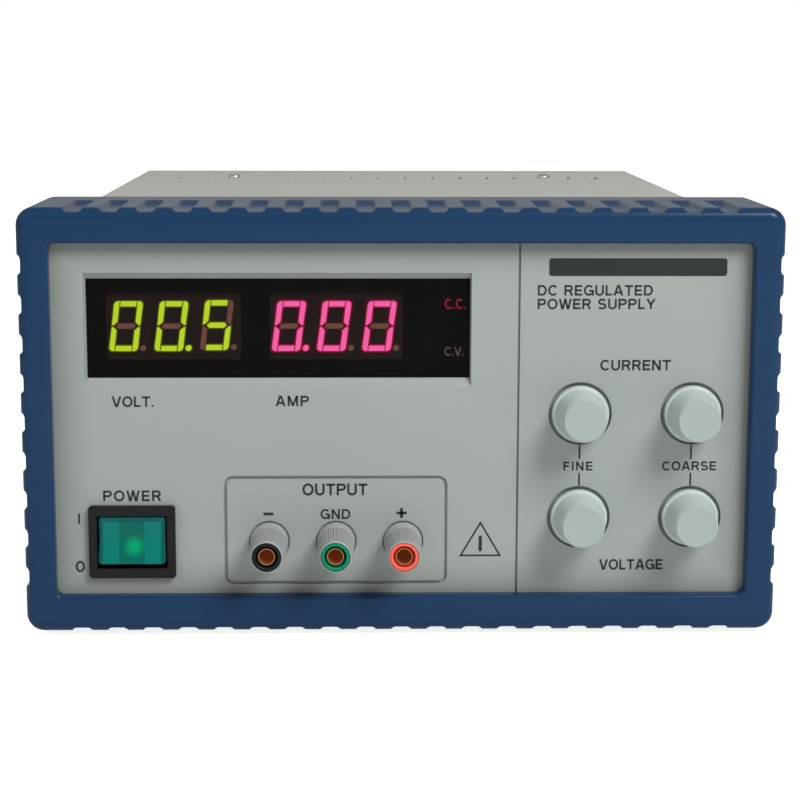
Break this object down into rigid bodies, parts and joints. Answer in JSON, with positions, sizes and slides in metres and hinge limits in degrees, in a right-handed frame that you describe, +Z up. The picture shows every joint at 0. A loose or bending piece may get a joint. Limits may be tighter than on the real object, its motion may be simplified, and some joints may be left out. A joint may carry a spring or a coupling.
{
  "type": "bench power supply",
  "caption": "Compact bench DC power supply with a notched front bumper, LED volt and amp displays, lit rocker switch, control knobs, 4 mm binding posts, rear fan and mains inlet.",
  "frame": {"origin": "on the table, under the centre of the whole object's box", "axes": "+X to the right as seen from the front, +Y from the front to the back, +Z up"},
  "size_m": [0.214, 0.3174, 0.1225],
  "materials": {
    "bumper_plastic": "blue moulded, fine texture",
    "panel_plastic": "light grey, satin",
    "smoked_window": "smoked acrylic, polished",
    "led_lens": "dark, clear-faced",
    "indicator_red": "red indicator",
    "circuit_board": "green solder mask",
    "screw_steel": "bright zinc plate",
    "switch_black": "black moulded",
    "rocker_green": "translucent green",
    "lamp_glass": "clear bulb",
    "terminal_brass": "tinned brass",
    "socket_brass": "brass socket",
    "post_grey": "grey moulded",
    "ring_black": "black",
    "ring_green": "green",
    "ring_red": "red",
    "knob_grey": "light grey, smooth",
    "shaft_steel": "turned steel",
    "component_dark": "dark moulded",
    "chassis_steel": "zinc plated sheet",
    "cover_paint": "warm grey textured paint",
    "foot_rubber": "black rubber",
    "sink_black": "black anodised",
    "fan_black": "black moulded",
    "guard_chrome": "bright wire",
    "fuse_glass": "glass tube with plated ends",
    "core_steel": "laminated steel",
    "coil_tape": "amber tape over windings",
    "capacitor_sleeve": "blue sleeve",
    "wire_red": "insulated wire"
  },
  "bodies": {
    "root": {"front_bumper": "bumper_plastic", "front_panel": "panel_plastic", "display_window": "smoked_window", "volt_display": "led_lens", "amp_display": "led_lens", "mode_indicators": "indicator_red", "display_board": "circuit_board", "control_board": "circuit_board", "board_screws": "screw_steel", "switch_frame": "switch_black", "switch_lamp": "lamp_glass", "switch_terminals": "terminal_brass", "post_nuts": "screw_steel", "post_tags": "terminal_brass", "potentiometers": "component_dark", "chassis_tray": "chassis_steel", "top_cover": "cover_paint", "case_screws": "screw_steel", "feet": "foot_rubber", "foot_screws": "screw_steel", "rear_panel": "chassis_steel", "cross_brace": "chassis_steel", "heat_sink": "sink_black", "power_transistors": "component_dark", "fan_frame": "fan_black", "fan_guard": "guard_chrome", "fan_screws": "screw_steel", "mains_inlet": "switch_black", "inlet_pins": "terminal_brass", "transformer_core": "core_steel", "transformer_coil": "coil_tape", "transformer_bracket": "screw_steel", "main_board": "circuit_board", "capacitors": "capacitor_sleeve", "rectifier": "component_dark", "wiring": "wire_red", "post_black_stud": "socket_brass", "post_black_collar": "post_grey", "post_green_stud": "socket_brass", "post_green_collar": "post_grey", "post_red_stud": "socket_brass", "post_red_collar": "post_grey"},
    "rocker": {"switch_rocker": "rocker_green"},
    "current_fine_knob": {"knob_current_fine": "knob_grey", "shaft_current_fine": "shaft_steel"},
    "current_coarse_knob": {"knob_current_coarse": "knob_grey", "shaft_current_coarse": "shaft_steel"},
    "voltage_fine_knob": {"knob_voltage_fine": "knob_grey", "shaft_voltage_fine": "shaft_steel"},
    "voltage_coarse_knob": {"knob_voltage_coarse": "knob_grey", "shaft_voltage_coarse": "shaft_steel"},
    "black_ring": {"post_black_ring": "ring_black"},
    "black_cap": {"post_black_cap": "post_grey"},
    "green_ring": {"post_green_ring": "ring_green"},
    "green_cap": {"post_green_cap": "post_grey"},
    "red_ring": {"post_red_ring": "ring_red"},
    "red_cap": {"post_red_cap": "post_grey"},
    "fan_rotor": {"fan_rotor": "fan_black"},
    "fuse_drawer": {"fuse_drawer": "switch_black", "fuse": "fuse_glass"}
  },
  "joints": [
    {"name": "rocker_tilt", "type": "hinge", "parent": "root", "child": "rocker", "pos_m": [-0.0766, -0.1367, 0.0273], "axis": [1, 0, 0], "range_deg": [0, 16]},
    {"name": "current_fine_turn", "type": "hinge", "parent": "root", "child": "current_fine_knob", "pos_m": [0.0506, -0.1433, 0.0641], "axis": [0, 1, 0], "range_deg": [-150, 150]},
    {"name": "current_coarse_turn", "type": "hinge", "parent": "root", "child": "current_coarse_knob", "pos_m": [0.0824, -0.1433, 0.0641], "axis": [0, 1, 0], "range_deg": [-150, 150]},
    {"name": "voltage_fine_turn", "type": "hinge", "parent": "root", "child": "voltage_fine_knob", "pos_m": [0.0506, -0.1433, 0.0341], "axis": [0, 1, 0], "range_deg": [-20, 280]},
    {"name": "voltage_coarse_turn", "type": "hinge", "parent": "root", "child": "voltage_coarse_knob", "pos_m": [0.0824, -0.1433, 0.0341], "axis": [0, 1, 0], "range_deg": [-5, 295]},
    {"name": "black_post_lift", "type": "slide", "parent": "root", "child": "black_ring", "axis": [0, -1, 0], "range_m": [0, 0.005]},
    {"name": "black_post_turn", "type": "hinge", "parent": "black_ring", "child": "black_cap", "pos_m": [-0.03765, -0.1433, 0.02725], "axis": [0, -1, 0], "range_deg": [0, 1800]},
    {"name": "green_post_lift", "type": "slide", "parent": "root", "child": "green_ring", "axis": [0, -1, 0], "range_m": [0, 0.005]},
    {"name": "green_post_turn", "type": "hinge", "parent": "green_ring", "child": "green_cap", "pos_m": [-0.0186, -0.1433, 0.02725], "axis": [0, -1, 0], "range_deg": [0, 1800]},
    {"name": "red_post_lift", "type": "slide", "parent": "root", "child": "red_ring", "axis": [0, -1, 0], "range_m": [0, 0.005]},
    {"name": "red_post_turn", "type": "hinge", "parent": "red_ring", "child": "red_cap", "pos_m": [0.00045, -0.1433, 0.02725], "axis": [0, -1, 0], "range_deg": [0, 1800]},
    {"name": "fan_spin", "type": "hinge", "parent": "root", "child": "fan_rotor", "pos_m": [0.042, 0.1417, 0.064], "axis": [0, 1, 0], "continuous": true},
    {"name": "fuse_drawer_slide", "type": "slide", "parent": "root", "child": "fuse_drawer", "axis": [0, 1, 0], "range_m": [0, 0.018]}
  ],
  "couplings": [
    {"joint": "black_post_lift", "follows": "black_post_turn", "m_per_rad": 0.00015915},
    {"joint": "green_post_lift", "follows": "green_post_turn", "m_per_rad": 0.00015915},
    {"joint": "red_post_lift", "follows": "red_post_turn", "m_per_rad": 0.00015915}
  ]
}
